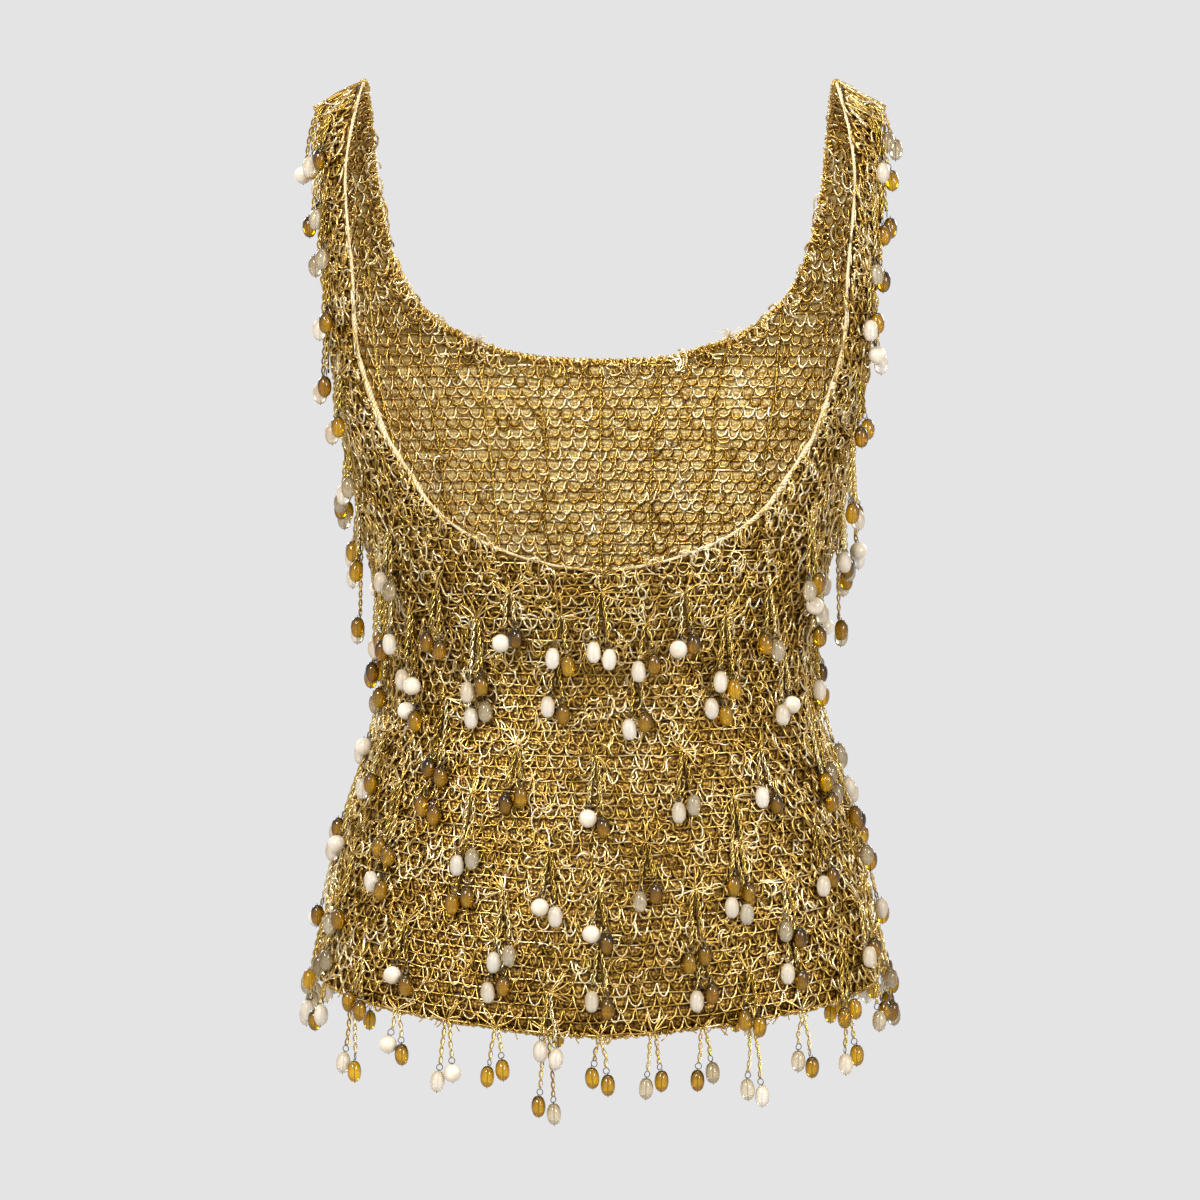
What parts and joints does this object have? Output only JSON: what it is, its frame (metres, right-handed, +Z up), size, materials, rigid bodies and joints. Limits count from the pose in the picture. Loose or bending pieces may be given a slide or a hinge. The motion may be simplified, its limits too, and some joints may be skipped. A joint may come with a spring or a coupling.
{
  "type": "beaded knit top",
  "caption": "Sleeveless scoop-neck tank of open gold knit, filled out as worn, hung all over with pairs of glass bead and pearl drops.",
  "frame": {"origin": "midway between the two shoulder straps, at the height where the shoulders carry them", "axes": "+Z up; -Y the front of the garment; +X the viewer's right from the front"},
  "size_m": [0.3364, 0.2525, 0.5738],
  "materials": {
    "metallic_yarn": "open knit of twisted metallic gold yarn, lustrous",
    "cream_cord": "pale twisted cord, soft sheen",
    "amber_glass": "polished amber glass oval",
    "frosted_glass": "frosted pale glass oval",
    "clear_glass": "clear smoky glass oval",
    "pearl": "round ivory pearl, pearly lustre",
    "dark_wire": "oxidised silver wire ring and pin"
  },
  "bodies": {
    "root": {"armhole_edging_left": "metallic_yarn", "armhole_edging_right": "metallic_yarn", "back_panel": "metallic_yarn", "drops_back_1": "amber_glass", "drops_back_2": "amber_glass", "drops_back_3": "amber_glass", "drops_back_4": "amber_glass", "drops_back_5": "amber_glass", "drops_back_6": "amber_glass", "drops_back_7": "amber_glass", "drops_front_1": "amber_glass", "drops_front_2": "amber_glass", "drops_front_3": "amber_glass", "drops_front_4": "amber_glass", "drops_front_5": "amber_glass", "drops_front_side_left": "amber_glass", "drops_front_side_right": "amber_glass", "drops_hem_back": "amber_glass", "drops_hem_front": "amber_glass", "drops_strap_back_left_19": "amber_glass", "drops_strap_back_left_22": "amber_glass", "drops_strap_back_right_19": "amber_glass", "drops_strap_back_right_22": "amber_glass", "drops_strap_front_left_17": "amber_glass", "drops_strap_front_left_20": "amber_glass", "drops_strap_front_left_23": "amber_glass", "drops_strap_front_right_17": "amber_glass", "drops_strap_front_right_20": "amber_glass", "drops_strap_front_right_23": "amber_glass", "front_panel": "metallic_yarn", "hem_edging": "metallic_yarn", "neck_cord_front": "cream_cord", "neck_edging_back": "metallic_yarn"}
  },
  "joints": []
}
